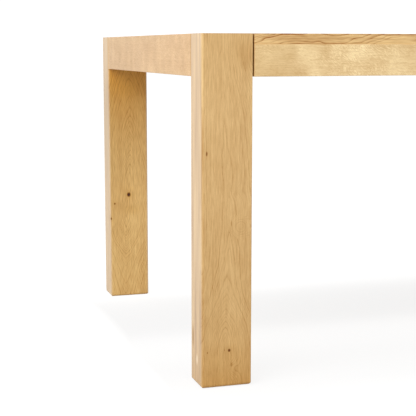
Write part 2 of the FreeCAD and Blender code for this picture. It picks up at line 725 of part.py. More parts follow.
def centre_section():
    """Every piece of the centre section, by name."""
    guide_screws, guide_holes = guide_fixings()
    strap_screws, strap_holes = strap_fixings()
    dowels, dowel_holes = rail_dowels()
    clips, clip_screws, clip_holes, kerfs = top_clips()
    cross = cut_by(cross_rail(), front_and_rear(dowel_holes))
    front = front_rail(kerfs + dowel_holes)
    guide = outer_guide(guide_holes + strap_holes)
    inner_guide = other_side_of_loper(guide)
    outer_key = key()
    inner_key = other_side_of_loper(outer_key)
    all_guide_holes = front_and_rear(both_sides_of_loper(guide_holes))
    panel_cuts = sockets() + all_guide_holes + front_and_rear(clip_holes)
    strap_cuts = front_and_rear(both_sides_of_loper(strap_holes) + dowel_holes)

    pieces = {}
    for number, board in enumerate(top_boards(panel_cuts), start=1):
        pieces[f"top_board_{number}"] = board
    pieces["front_rail"] = front
    pieces["rear_rail"] = mirror_y(front)
    pieces["left_cross_rail"] = cross
    pieces["right_cross_rail"] = mirror_x(cross)
    pieces["front_outer_guide"] = guide
    pieces["front_inner_guide"] = inner_guide
    pieces["rear_inner_guide"] = mirror_y(inner_guide)
    pieces["rear_outer_guide"] = mirror_y(guide)
    for name, left_key in (("outer", outer_key), ("inner", inner_key)):
        pieces[f"left_front_{name}_key"] = left_key
        pieces[f"left_rear_{name}_key"] = mirror_y(left_key)
        pieces[f"right_front_{name}_key"] = mirror_x(left_key)
        pieces[f"right_rear_{name}_key"] = mirror_x(mirror_y(left_key))
    for name, place in zip(("left", "middle", "right"), STRAP_PLACES):
        pieces[f"{name}_strap"] = strap(place, strap_cuts)
    pieces["top_clips"] = Part.makeCompound(front_and_rear(clips))
    pieces["clip_screws"] = Part.makeCompound(front_and_rear(clip_screws))
    pieces["guide_screws"] = Part.makeCompound(front_and_rear(both_sides_of_loper(guide_screws)))
    pieces["strap_screws"] = Part.makeCompound(front_and_rear(both_sides_of_loper(strap_screws)))
    pieces["centre_glue_blocks"] = Part.makeCompound(four_corners(glue_block((-GUIDE_END, -RAIL_INNER_Y))))
    pieces["centre_dowels"] = Part.makeCompound(front_and_rear(dowels))
    pieces["stop_buffers"] = Part.makeCompound(four_corners(stop_buffer()))
    return pieces


# ------------------------------------------------------------------------------- the whole table


def table():
    """Every piece of the table, by the name of its file."""
    pieces = centre_section()
    for name, piece in end_frame().items():
        pieces[f"left_{name}"] = piece
        pieces[f"right_{name}"] = mirror_x(piece)
    return pieces


os.makedirs("parts", exist_ok=True)
for node, shape in table().items():
    shape.exportStep(os.path.join("parts", node + ".step"))
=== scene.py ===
import json
import math
import random
from collections import namedtuple

import bpy
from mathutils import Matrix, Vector

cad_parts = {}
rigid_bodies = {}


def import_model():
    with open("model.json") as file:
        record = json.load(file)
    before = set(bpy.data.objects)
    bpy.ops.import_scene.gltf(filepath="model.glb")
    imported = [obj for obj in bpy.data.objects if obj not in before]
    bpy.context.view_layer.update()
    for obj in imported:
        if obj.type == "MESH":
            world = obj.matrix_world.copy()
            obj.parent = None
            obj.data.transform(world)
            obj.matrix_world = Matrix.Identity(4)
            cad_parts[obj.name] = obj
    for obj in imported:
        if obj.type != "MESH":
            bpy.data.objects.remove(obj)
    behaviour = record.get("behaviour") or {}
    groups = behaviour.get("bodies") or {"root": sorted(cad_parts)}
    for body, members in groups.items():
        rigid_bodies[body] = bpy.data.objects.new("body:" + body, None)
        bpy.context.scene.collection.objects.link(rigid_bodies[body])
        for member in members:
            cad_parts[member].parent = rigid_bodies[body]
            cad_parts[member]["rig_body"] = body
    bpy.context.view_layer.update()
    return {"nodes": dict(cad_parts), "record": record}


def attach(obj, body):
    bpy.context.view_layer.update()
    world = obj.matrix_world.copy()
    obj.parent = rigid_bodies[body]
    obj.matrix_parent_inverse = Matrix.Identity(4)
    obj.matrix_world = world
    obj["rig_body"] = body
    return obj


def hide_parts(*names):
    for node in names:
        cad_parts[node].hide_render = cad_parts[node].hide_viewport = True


# An oak dining table that extends at both ends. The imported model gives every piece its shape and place. This
# script gives the wood its figure, makes the turned fittings, and sets up the floor, the lights and the
# camera.
#
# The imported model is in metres. Sizes of patterns are in millimetres, as a maker would measure them on the
# board.

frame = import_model()
nodes = frame["nodes"]

MM = 0.001

# ---------------------------------------------------------------------- colours and shader nodes

WHITE = "#FFFFFF"


def linear(colour):
    """Turns an sRGB colour, written as #RRGGBB, to linear RGBA."""
    shares = [int(colour[i : i + 2], 16) / 255 for i in (1, 3, 5)]
    return [s / 12.92 if s <= 0.04045 else ((s + 0.055) / 1.055) ** 2.4 for s in shares] + [1.0]


def add(tree, kind, inputs=(), **settings):
    """Adds a shader node with its settings, and gives its inputs values or links, by order or by name. It
    returns the first output in use."""
    node = tree.nodes.new("ShaderNode" + kind)
    for setting, value in settings.items():
        setattr(node, setting, value)
    named = inputs if isinstance(inputs, dict) else dict(enumerate(inputs))
    sockets = [socket for socket in node.inputs if socket.enabled]
    for name, value in named.items():
        socket = sockets[name] if isinstance(name, int) else next(s for s in sockets if s.name == name)
        if isinstance(value, bpy.types.NodeSocket):
            tree.links.new(value, socket)
        else:
            socket.default_value = value
    return next(output for output in node.outputs if output.enabled)


def new_material(name):
    """A material with nothing but its shader, and that shader's node tree."""
    material = bpy.data.materials.new(name)
    material.use_nodes = True
    return material, material.node_tree, material.node_tree.nodes["Principled BSDF"]


# ---------------------------------------------------------------------- the figure of oak

# Oak is ring-porous: each growth ring starts with a band of wide pores, which reads as a row of dark dashes,
# and ends in dense, even wood. Rays run out from the heart and show as pale, shiny flecks where the board is
# cut along them.

# Noise drawn out along the grain, with a width and a length. It swings what it is added to up and down, and
# detail is how many finer noises lie on it.
Streak = namedtuple("Streak", "width length swing detail", defaults=(1.0, 0.0))
NOISE_RANGE = {"From Min": 0.3, "From Max": 0.7}  # most of a noise lies between these

RING = 3.3  # width of a growth ring
RING_SQUEEZE = 1.5  # rings are closer together across the board than into it, which gives steep arches
RING_POINT = 1.3  # 2 gives round arches, and 1 pointed ones
RING_BAND = ((0.0, 0.10), (0.07, 1.0), (0.24, 0.45), (0.46, 0.08), (1.0, 0.0))  # pores from start to end
WEAK_YEAR = 0.30  # the pores of the faintest ring, as a share of the strongest one's
YEAR_STEP = 31.7  # sets one board's years apart from the next
SPELL = 17.0  # width of a spell of good or bad years
SPELL_SHIFT = 2.2  # by how many rings such spells move the count
SWAY = Streak(80.0, 330.0, 11.0)  # how the rings wander over the length of a board
RIPPLE = Streak(10.0, 30.0, 3.6)  # how they waver from hand to hand
SWIRL_SQUEEZE = 1.7  # rings are closer together in a swirl than elsewhere

PORE = Streak(1.2, 7.0, detail=2.0)  # real pores are 0.3 wide, too fine to show: these are bundles of them
PORE_CUT = {"From Min": 0.48, "From Max": 0.68}  # the part of the noise that is pore
LATE_PORES = 0.35  # the pores of dense wood, as a share of those in the band

RAY_WIDTH = 1.3  # real rays are 0.3 wide, and are drawn coarser for the same reason
RAY_HEIGHT = 3.2
RAY_DEPTH = 10.0
RAY_ARC = 220.0  # turns the angle round the heart to millimetres
RAY_SLANT = 0.7  # the saw never follows the rays quite, which tilts the flecks
RAY_CURL = Streak(22.0, 34.0, 26.0)  # how they curl from that
RAY_CUT = {"From Min": 0.45, "From Max": 0.70}
RAY_PATCH = Streak(40.0, 120.0, detail=1.0)  # rays show in patches
RAY_PATCH_CUT = {"From Min": 0.40, "From Max": 0.62, "To Min": 0.25}

GRAIN = Streak(2.4, 26.0, 0.16, 1.0)  # bundles of fibres
FIBRES = Streak(5.0, 420.0, 0.08, 3.0)  # long lines of them
BANDS = Streak(15.0, 600.0, 0.05, 1.0)  # lighter and darker bands
LAYERS = Streak(9.0, 240.0, 1.0, 1.0)  # rings cut lengthwise on a board's narrow side
MOTTLE = Streak(60.0, 40.0, 0.16, 1.0)  # the shimmer of a board that is cut along its rays
CLOUDS = Streak(90.0, 240.0, 0.07, 1.0)  # slow changes from hand to hand
FAINT = Streak(36.0, 130.0)  # where the outlines of the rings fade
FAINT_CUT = {"From Min": 0.36, "From Max": 0.56, "To Min": 0.5}

# How much each of these deepens the tone
EARLY_TONE = 0.12
LINE_TONE = 0.70
PORE_TONE = 0.80
RAY_TONE = -0.48

# painted highlight: the pale cream of a rounded arris that catches the light
ARRIS_HIGHLIGHT_COLOUR = "#EACFAE"
WARM_SHADING_COLOUR = "#F2D898"  # painted warm shade: the warmer, darker tone that wood takes on in shadow
HIGHLIGHT_HOLDS_OFF_WARM_SHADING = 0.7  # the painted highlight takes that much less of the painted warm shade
END_GRAIN = "#DED0B8"  # cut pores drink the oil, which darkens the wood
END_CUT = {"From Min": 0.45, "From Max": 0.95}  # how far round an arris the end-grain darkening reaches; it starts early, so eased arrises darken too and draw a dark line along the seams
KNOT_EDGE = 4.0  # the higher, the sharper
KNOT_HALO = 0.06  # how much the wood round a knot darkens with it
KNOT_STAIN = 1.8  # resin makes the colour deeper
KNOT_DARK = 0.90

PLAIN_ROUGHNESS = 0.46
RAY_ROUGHNESS = 0.36  # rays are dense, and shine
PORE_ROUGHNESS = 0.12  # what open pores add
PORE_SINK = 0.03  # their depth
OAK_BUMP = 0.7
OAK_IOR = 1.35  # a thin oil mirrors less than the 1.5 of a varnish
SEED_STEP = (37.1, 53.7, 911.0)  # sets one board's patterns apart from the next

# What the figure is told about a board, and what it gives back
FIGURE_INPUTS = {
    "Place": "Vector",  # in millimetres across, into and along the board
    "Heart": "Vector",  # where the middle of the log lies beside it
    "Facing end": "Float",  # 1 on end grain
    "Facing edge": "Float",  # how much the layers of the rings show, on a narrow side
    "Bulge": "Float",  # how far knots push the rings out
    "Knot": "Float",  # how dark they are
    "Swirl": "Float",  # 1 inside a swirl
    "Swirl ring": "Float",  # how far from the heart its wood was
    "Seed": "Float",  # tells boards apart
    "Fleck": "Float",
    "Contrast": "Float",
    "Smooth": "Float",
    "Ring": "Float",
    # painted warm shade: how far the wood is warmed and darkened where shadow falls
    "Amber": "Float",
    # plain painted shade: how much darker the wood is made where shadow falls
    "Shade": "Float",
    # painted highlight: how pale the wood is made at a rounded arris
    "Sap": "Float",
    "Light": "Color",
    "Deep": "Color",
}
FIGURE_OUTPUTS = {"Color": "Color", "Roughness": "Float", "Height": "Float"}


def streaks(tree, place, streak):
    """Noise drawn out along the grain, from 0 to 1."""
    scale = (1 / streak.width, 1 / streak.width, 1 / streak.length)
    scaled = add(tree, "VectorMath", [place, scale], operation="MULTIPLY")
    return add(tree, "TexNoise", {"Vector": scaled, "Scale": 1.0, "Detail": streak.detail})


def swinging(tree, place, streak, clamp=False):
    """The same noise, from minus to plus its swing."""
    value = {"Value": streaks(tree, place, streak), "To Min": -streak.swing, "To Max": streak.swing}
    return add(tree, "MapRange", {**value, **NOISE_RANGE}, clamp=clamp)


def swayed(tree, place, source, streak):
    """A place moved sideways by up to half of a streak's swing."""
    colour = streaks(tree, source, streak).node.outputs["Color"]
    centred = add(tree, "VectorMath", [colour, (0.5, 0.5, 0.5)], operation="SUBTRACT")
    sideways = add(tree, "VectorMath", [centred, (streak.swing, streak.swing, 0.0)], operation="MULTIPLY")
    return add(tree, "VectorMath", [place, sideways], operation="ADD")


def growth_rings(tree, given, own):
    """Counts the rings out from a heart that wanders. It returns the sides of the way out from the heart, its
    length, and how porous the wood is there."""
    out = add(tree, "VectorMath", [given["Place"], given["Heart"]], operation="SUBTRACT")
    out = swayed(tree, out, own, SWAY)
    out = swayed(tree, out, own, RIPPLE)
    sides = add(tree, "SeparateXYZ", [out]).node.outputs
    wide, thick = (add(tree, "Math", [sides[side]], operation="ABSOLUTE") for side in "XY")
    wide = add(tree, "Math", [wide, RING_SQUEEZE], operation="MULTIPLY")
    raised = [add(tree, "Math", [side, RING_POINT], operation="POWER") for side in (wide, thick)]
    radius = add(tree, "Math", [add(tree, "Math", raised, operation="ADD"), 1 / RING_POINT],
                 operation="POWER")
    radius = add(tree, "Math", [radius, given["Bulge"]], operation="ADD")
    radius = add(tree, "Mix", {"Factor": given["Swirl"], "A": radius, "B": given["Swirl ring"]})

    spell_place = add(tree, "Math", [radius, 1 / SPELL], operation="MULTIPLY")
    spell = add(tree, "TexNoise", {"W": spell_place, "Scale": 1.0}, noise_dimensions="1D")
    evenly = add(tree, "Math", [radius, given["Ring"]], operation="DIVIDE")
    count = add(tree, "Math", [spell, SPELL_SHIFT, evenly], operation="MULTIPLY_ADD")
    number = add(tree, "Math", [count], operation="FLOOR")
    through = add(tree, "Math", [count], operation="FRACT")
    year = add(tree, "Math", [given["Seed"], YEAR_STEP, number], operation="MULTIPLY_ADD")
    luck = add(tree, "TexWhiteNoise", {"W": year}, noise_dimensions="1D")
    strength = add(tree, "MapRange", {"Value": luck, "To Min": WEAK_YEAR})
    band = add(tree, "ValToRGB", {"Fac": through})
    ramp = band.node.color_ramp.elements
    for at, _ in RING_BAND[1:-1]:
        ramp.new(at)
    for stop, (_, share) in zip(ramp, RING_BAND):
        stop.color = (share, share, share, 1.0)
    return sides, radius, add(tree, "Math", [band, strength], operation="MULTIPLY")


def ray_flecks(tree, given, own, sides, radius):
    """The rays, on round coordinates about the heart."""
    turn = add(tree, "Math", [sides["X"], sides["Y"]], operation="ARCTAN2")
    around = add(tree, "Math", [turn, RAY_ARC / RAY_WIDTH], operation="MULTIPLY")
    outwards = add(tree, "Math", [radius, 1 / RAY_DEPTH], operation="MULTIPLY")
    upwards = add(tree, "Math", [radius, -RAY_SLANT, sides["Z"]], operation="MULTIPLY_ADD")
    upwards = add(tree, "Math", [streaks(tree, own, RAY_CURL), RAY_CURL.swing, upwards],
                  operation="MULTIPLY_ADD")
    upwards = add(tree, "Math", [upwards, 1 / RAY_HEIGHT], operation="MULTIPLY")
    place = add(tree, "CombineXYZ", [around, outwards, upwards])
    noise = add(tree, "TexNoise", {"Vector": place, "Scale": 1.0, "Detail": 1.0, "Distortion": 0.5})
    ray = add(tree, "MapRange", {"Value": noise, **RAY_CUT})
    patch = add(tree, "MapRange", {"Value": streaks(tree, own, RAY_PATCH), **RAY_PATCH_CUT})
    rays = add(tree, "Math", [ray, patch], operation="MULTIPLY")
    return add(tree, "Math", [rays, given["Fleck"]], operation="MULTIPLY")


def wood_tone(tree, given, own, early, dashes, rays):
    """The tone, from light wood at 0 to deep wood at 1."""
    lines = add(tree, "Math", [early, given["Smooth"]], operation="MULTIPLY")
    faint = add(tree, "MapRange", {"Value": streaks(tree, own, FAINT), **FAINT_CUT})
    lines = add(tree, "Math", [lines, faint], operation="MULTIPLY")
    level = add(tree, "VectorMath", [own, (0.0, 1.0, 1.0)], operation="MULTIPLY")

    tone = add(tree, "Math", [swinging(tree, own, GRAIN), swinging(tree, own, FIBRES)], operation="ADD")
    tone = add(tree, "Math", [tone, swinging(tree, own, BANDS)], operation="ADD")
    for part, weight in (
        (early, EARLY_TONE),
        (lines, LINE_TONE),
        (dashes, PORE_TONE),
        (swinging(tree, level, LAYERS), given["Facing edge"]),
    ):
        tone = add(tree, "Math", [part, weight, tone], operation="MULTIPLY_ADD")
    tone = add(tree, "Math", [tone, given["Contrast"]], operation="MULTIPLY")
    for part, weight in ((swinging(tree, own, MOTTLE), given["Fleck"]), (rays, RAY_TONE)):
        tone = add(tree, "Math", [part, weight, tone], operation="MULTIPLY_ADD")
    return add(tree, "Math", [tone, swinging(tree, own, CLOUDS, clamp=True)], operation="ADD")


def wood_colour(tree, given, tone):
    """The colour of a tone, with a painted highlight at the arrises, warm and plain painted shade, the knots,
    and the end grain that the saw leaves.
    """
    wood = add(tree, "Mix", {"Factor": tone, "A": given["Light"], "B": given["Deep"]}, data_type="RGBA",
               clamp_factor=False)
    # a pale painted highlight where the rounded arrises catch the light
    pale = add(tree, "Mix", {"Factor": given["Sap"], "A": wood, "B": linear(ARRIS_HIGHLIGHT_COLOUR)}, data_type="RGBA")
    # warm painted shade, with less of it on the painted highlight
    takes = add(tree, "Math", [given["Sap"], -HIGHLIGHT_HOLDS_OFF_WARM_SHADING, 1.0], operation="MULTIPLY_ADD")
    amber = add(tree, "Math", [given["Amber"], takes], operation="MULTIPLY")
    warm = add(tree, "Mix", {"Factor": amber, "A": pale, "B": linear(WARM_SHADING_COLOUR)}, data_type="RGBA",
               blend_type="MULTIPLY")
    # plain painted shade
    lit = add(tree, "Math", [1.0, given["Shade"]], operation="SUBTRACT")
    shaded = add(tree, "VectorMath", {"Vector": warm, "Scale": lit}, operation="SCALE")
    dense = add(tree, "Math", [given["Knot"], 1.0], operation="MINIMUM")
    stain = add(tree, "Math", [dense, KNOT_STAIN, 1.0], operation="MULTIPLY_ADD")
    stained = add(tree, "Gamma", {"Color": shaded, "Gamma": stain})
    left = add(tree, "Math", [dense, -KNOT_DARK, 1.0], operation="MULTIPLY_ADD")
    knotty = add(tree, "VectorMath", {"Vector": stained, "Scale": left}, operation="SCALE")
    end = add(tree, "MapRange", {"Value": given["Facing end"], **END_CUT})
    return add(tree, "Mix", {"Factor": end, "A": knotty, "B": linear(END_GRAIN)}, data_type="RGBA",
               blend_type="MULTIPLY")


def oak_figure():
    """The figure of an oak board, as a node group that all of them share."""
    tree = bpy.data.node_groups.new("oak figure", "ShaderNodeTree")
    for sockets, way in ((FIGURE_INPUTS, "INPUT"), (FIGURE_OUTPUTS, "OUTPUT")):
        for name, kind in sockets.items():
            tree.interface.new_socket(name, in_out=way, socket_type="NodeSocket" + kind)
    given = tree.nodes.new("NodeGroupInput").outputs
    made = tree.nodes.new("NodeGroupOutput").inputs

    seed = add(tree, "VectorMath", {"Vector": SEED_STEP, "Scale": given["Seed"]}, operation="SCALE")
    own = add(tree, "VectorMath", [given["Place"], seed], operation="ADD")
    sides, radius, early = growth_rings(tree, given, own)
    rays = ray_flecks(tree, given, own, sides, radius)

    # Pores crowd in the early wood. A smooth board shows the outlines of its rings in their place.
    pore = add(tree, "MapRange", {"Value": streaks(tree, own, PORE), **PORE_CUT})
    crowd = add(tree, "MapRange", {"Value": early, "To Min": LATE_PORES})
    pores = add(tree, "Math", [pore, crowd], operation="MULTIPLY")
    coarse = add(tree, "Math", [1.0, given["Smooth"]], operation="SUBTRACT")
    dashes = add(tree, "Math", [pores, coarse], operation="MULTIPLY")

    tone = wood_tone(tree, given, own, early, dashes, rays)
    tree.links.new(wood_colour(tree, given, tone), made["Color"])
    rough = add(tree, "MapRange", {"Value": rays, "To Min": PLAIN_ROUGHNESS, "To Max": RAY_ROUGHNESS})
    rough = add(tree, "Math", [pores, PORE_ROUGHNESS, rough], operation="MULTIPLY_ADD")
    tree.links.new(rough, made["Roughness"])
    tree.links.new(add(tree, "Math", [dashes, -PORE_SINK], operation="MULTIPLY"), made["Height"])
    return tree


figure = oak_figure()

# ---------------------------------------------------------------------- the boards

# Axes are the table's axes that run across, into and along a board, light and deep the colours of its wood,
# and heart tells where the middle of the log lies beside it, from points: along, across, into. Fleck,
# contrast and layers are how much its rays, its grain and the rings on its narrow sides show, and smooth how
# far the rings show as outlines in place of single pores. Four tracks, from points of a place and a value,
# paint light and shade: a warm, darker painted shade and a plain painted shade run along the board, a pale
# painted highlight at its arrises runs across it, and the last runs into it and ends the warm painted shade.
Board = namedtuple(
    "Board",
    "node axes light deep fleck contrast heart smooth ring layers amber skin shade sap knots swirl seed",
    defaults=(0.2, RING, 0.3, 0.0, (), 0.0, 0.0, (), None, 0.0),
)

# A knot has a place, half of its size each way, and a darkness. The rings round it are pushed out by its
# lift, which fades over its spread, in sizes of the knot. One with no darkness is the bend over a knot deeper
# in the board.
Knot = namedtuple("Knot", "place size dark spread lift")

# A swirl has a place and a reach, and ring tells how far from the heart its eye was.
Swirl = namedtuple("Swirl", "place reach ring")


def track(tree, along, points):
    """A value that changes along a board, through points of a place and a value. A plain number stays one."""
    if isinstance(points, float):
        return points
    first, last = points[0][0], points[-1][0]
    values = [value for place, value in points]
    low, high = min(values), max(values) + 0.001  # so that a level track has a height too
    share = add(tree, "MapRange", {"Value": along, "From Min": first, "From Max": last})
    bent = add(tree, "FloatCurve", {"Value": share})
    curve = bent.node.mapping.curves[0]
    for _ in points[2:]:
        curve.points.new(0.5, 0.5)
    for handle, (place, value) in zip(curve.points, points):
        handle.location = ((place - first) / (last - first), (value - low) / (high - low))
    bent.node.mapping.update()
    return add(tree, "MapRange", {"Value": bent, "To Min": low, "To Max": high}, clamp=False)


def heart_line(tree, along, points):
    """Where the heart of the log lies beside a board, from points: along, across, into."""
    lines = [[(point[0], point[side]) for point in points] for side in (1, 2)]
    return add(tree, "CombineXYZ", [track(tree, along, line) for line in lines])


def bell(tree, distance, power):
    """1 at no distance, and next to nothing past 1. The higher the power, the steeper its side."""
    raised = add(tree, "Math", [distance, power], operation="POWER")
    return add(tree, "Math", [add(tree, "Math", [raised, -1.0], operation="MULTIPLY")], operation="EXPONENT")


def knot_fields(tree, place, knots):
    """How far the knots push the rings out, and how dark they are."""
    bulge = dark = 0.0
    for knot in knots:
        offset = add(tree, "VectorMath", [place, knot.place], operation="SUBTRACT")
        scaled = add(tree, "VectorMath", [offset, knot.size], operation="DIVIDE")
        away = add(tree, "VectorMath", [scaled], operation="LENGTH")
        core = bell(tree, away, KNOT_EDGE)
        halo = bell(tree, add(tree, "Math", [away, knot.spread], operation="DIVIDE"), 2.0)
        bulge = add(tree, "Math", [halo, knot.lift, bulge], operation="MULTIPLY_ADD")
        dark = add(tree, "Math", [core, knot.dark, dark], operation="MULTIPLY_ADD")
        dark = add(tree, "Math", [halo, knot.dark * KNOT_HALO, dark], operation="MULTIPLY_ADD")
    return bulge, dark


def swirl_fields(tree, place, swirl):
    """How far the rings turn round the eye of a swirl, and how far from the heart that wood was."""
    if not swirl:
        return 0.0, 0.0
    away = add(tree, "VectorMath", [place, swirl.place], operation="DISTANCE")
    hold = add(tree, "MapRange", {"Value": away, "From Min": swirl.reach / 2, "From Max": swirl.reach,
                                  "To Min": 1.0, "To Max": 0.0}, interpolation_type="SMOOTHSTEP")
    return hold, add(tree, "Math", [away, SWIRL_SQUEEZE, swirl.ring], operation="MULTIPLY_ADD")


def board_place(tree, axes):
    """A place on a board, in millimetres across, into and along it."""
    parts = add(tree, "SeparateXYZ", [add(tree, "TexCoord").node.outputs["Object"]]).node.outputs
    turned = add(tree, "CombineXYZ", [parts[axis] for axis in axes])
    return add(tree, "VectorMath", {"Vector": turned, "Scale": 1 / MM}, operation="SCALE")


def oiled_oak(board, number):
    """Oak under a satin oil, which lets the colour of the wood through and leaves a soft sheen."""
    material, tree, shader = new_material("oiled oak " + board.node)
    place = board_place(tree, board.axes)
    across, into, along = add(tree, "SeparateXYZ", [place]).node.outputs
    normal = add(tree, "SeparateXYZ", [add(tree, "TexCoord").node.outputs["Normal"]]).node.outputs
    facing_edge, _, facing_end = (
        add(tree, "Math", [normal[axis]], operation="ABSOLUTE") for axis in board.axes
    )
    # painted warm shade along the board; a second track holds it to the wood near one face
    amber = track(tree, along, board.amber)
    if board.skin:
        amber = add(tree, "Math", [amber, track(tree, into, board.skin)], operation="MULTIPLY")
    bulge, dark = knot_fields(tree, place, board.knots)
    swirl, swirl_ring = swirl_fields(tree, place, board.swirl)
    grown = add(tree, "Group", {
        "Place": place,
        "Heart": heart_line(tree, along, board.heart),
        "Facing end": facing_end,
        "Facing edge": add(tree, "Math", [facing_edge, board.layers], operation="MULTIPLY"),
        "Bulge": bulge,
        "Knot": dark,
        "Swirl": swirl,
        "Swirl ring": swirl_ring,
        "Seed": number + board.seed,
        "Fleck": track(tree, along, board.fleck),
        "Contrast": board.contrast,
        "Smooth": board.smooth,
        "Ring": board.ring,
        "Amber": amber,
        # plain painted shade along the board
        "Shade": track(tree, along, board.shade),
        # painted highlight across the board, at its arrises
        "Sap": track(tree, across, board.sap),
        "Light": linear(board.light),
        "Deep": linear(board.deep),
    }, node_tree=figure).node.outputs
    tree.links.new(grown["Color"], shader.inputs["Base Color"])
    tree.links.new(grown["Roughness"], shader.inputs["Roughness"])
    bump = add(tree, "Bump", {"Height": grown["Height"], "Distance": MM, "Strength": OAK_BUMP})
    tree.links.new(bump, shader.inputs["Normal"])
    shader.inputs["IOR"].default_value = OAK_IOR
    return material


FRONT = -500.0  # the front face of the near legs and rails
REAR_LEG_FRONT = 422.0

BOARDS = [
    Board(
        "left_front_leg", "XYZ", "#D8B075", "#AA7631", 0.25, 1.0,
        [(0, -846, -498), (60, -845, -496), (90, -845, -490), (235, -843, -419), (300, -838, -408),
         (540, -844, -392), (700, -852, -384), (760, -854, -381)],
        smooth=0.65, ring=6.2, layers=1.0,
        # painted light: warm and plain painted shade darken the foot, and a pale painted highlight runs along
        # the outer front arris
        amber=[(0, 0.6), (60, 0.3), (150, 0.05), (230, 0.0), (760, 0.0)],
        shade=[(0, 0.08), (50, 0.04), (100, 0.0), (760, 0.0)],
        sap=[(-900, 0.6), (-898.6, 0.35), (-895.5, 0.0), (-787, 0.0)],
        knots=[
            Knot((-888.2, FRONT, 510.2), (1.9, 7.5, 4.5), 0.5, 4.0, 2.5),  # a sliver of bark
            Knot((-837.3, FRONT, 82.4), (2.8, 7.5, 3.2), 0.7, 4.0, 6.0),  # the pin knot over the foot
            Knot((-834.0, FRONT, 40.0), (14.0, 20.0, 12.0), 0.0, 1.5, 24.0),  # arches under it
            Knot((-831.9, FRONT, 50.2), (2.4, 7.5, 4.5), 0.15, 4.0, 4.0),
            Knot((-886.7, FRONT, 80.6), (1.4, 7.5, 1.8), 0.3, 4.0, 1.0),
            Knot((-819.0, FRONT, 430.0), (4.0, 8.0, 4.0), 0.0, 4.0, 11.0),
            Knot((-832.8, FRONT, 359.7), (1.2, 10.0, 6.0), 0.2, 3.0, 1.0),  # a dark stroke beside the swirl
            Knot((-800.1, FRONT, 715.2), (22.0, 30.0, 30.0), 0.06, 1.0, 4.0),  # the slope of a branch
            Knot((-778.0, FRONT, 725.0), (28.0, 60.0, 42.0), 0.0, 2.0, 42.0),
            Knot((-900.0, -436.0, 104.0), (7.5, 6.0, 24.0), 0.3, 1.0, 0.0),  # a dull streak on the outer side
            Knot((-900.0, -466.0, 58.0), (7.5, 6.0, 12.0), -0.2, 1.0, 0.0),  # and a pale one
        ],
        swirl=Swirl((-812.0, FRONT, 352.0), 28.0, 118.0),
    ),
    Board(
        "left_rear_leg", "XYZ", "#ECC37E", "#B5792B", 0.25, 1.2,
        [(0, -855, 555), (100, -855, 521), (255, -852, 438), (303, -845, 432), (431, -840, 470),
         (760, -845, 590)],
        smooth=0.8, ring=6.0, layers=0.8,
        # painted light: warm painted shade at the top of the front face, where the table top shades it, kept
        # to that face by the next track; plain painted shade below it; pale painted highlights along both
        # front arrises
        amber=[(0, 0.0), (300, 0.05), (400, 0.15), (560, 0.6), (660, 1.0), (760, 1.0)],
        skin=[(REAR_LEG_FRONT, 1.0), (REAR_LEG_FRONT + 3, 1.0), (REAR_LEG_FRONT + 20, 0.0), (500, 0.0)],
        shade=[(0, 0.0), (280, 0.0), (400, 0.09), (580, 0.13), (650, 0.04), (760, 0.0)],
        sap=[(-900, 0.8), (-898, 0.5), (-894, 0.0), (-794, 0.0), (-790, 0.5), (-787, 0.7)],
        knots=[
            Knot((-844.1, REAR_LEG_FRONT, 303.8), (4.9, 8.5, 6.0), 1.0, 3.5, 8.0),
            Knot((-886.3, REAR_LEG_FRONT, 278.5), (2.4, 7.5, 2.8), 0.6, 4.0, 3.0),
            Knot((-897.1, REAR_LEG_FRONT, 234.6), (2.0, 7.5, 3.5), 0.6, 4.0, 3.0),
            # brown wood under the first of them
            Knot((-835.0, REAR_LEG_FRONT, 259.1), (26.0, 30.0, 14.0), 0.05, 1.0, 0.0),
        ],
    ),
    Board(
        "left_end_board", "ZXY", "#E2BA88", "#B58147", 0.8, 0.6,
        [(-430, 520, -870), (430, 560, -865)],
        # painted warm shade towards the front end, which evens out how the light falls along the board
        amber=[(-430, 0.15), (0, 0.05), (430, 0.0)],
    ),
    Board(
        "front_rail", "ZYX", "#EDCD97", "#BC8B46",
        [(-800, 0.5), (-700, 0.8), (-630, 1.35), (-440, 1.2), (0, 0.9), (800, 1.0)], 0.8,
        [(-800, 900, -480), (0, 860, -470), (800, 930, -490)],
        # painted warm shade and plain painted shade at the left end, against the stronger light there
        amber=[(-800, 0.2), (-700, 0.1), (-640, 0.0), (800, 0.0)],
        shade=[(-800, 0.07), (-700, 0.05), (-640, 0.0), (800, 0.0)],
        seed=47.0,
    ),
    Board(
        "top_board_1", "YZX", "#E0B87C", "#A66B27", 0.2, 1.5,
        [(-784, -440, 688), (-756, -440, 697), (-713, -440, 706), (-650, -440, 709), (-600, -440, 708),
         (-558, -440, 715), (-516, -440, 726), (-478, -440, 735), (-442, -440, 741), (-300, -440, 747),
         (0, -430, 725), (780, -450, 735)],
        smooth=0.95, ring=5.0,
    ),
]

# The other boards are like these. Only where the heart lay and the tone of the wood differ from board to
# board, as in any stack of timber.
OTHER_LIGHTS = ("#E2BA7C", "#DDB478", "#E6C48E", "#D8AD70", "#E0B981")
OTHER_DEEPS = ("#96642B", "#8E5C24", "#9C6C34")
PANEL_BOARDS = 8
PANEL_BOARD = 125.0  # their width
PANEL_HEARTS = (640, 660, 690, 820, 840)  # how high the heart of one may lie, under or over it
PANEL_OFFSET = 45.0  # and how far to a side
PANEL_END = 788
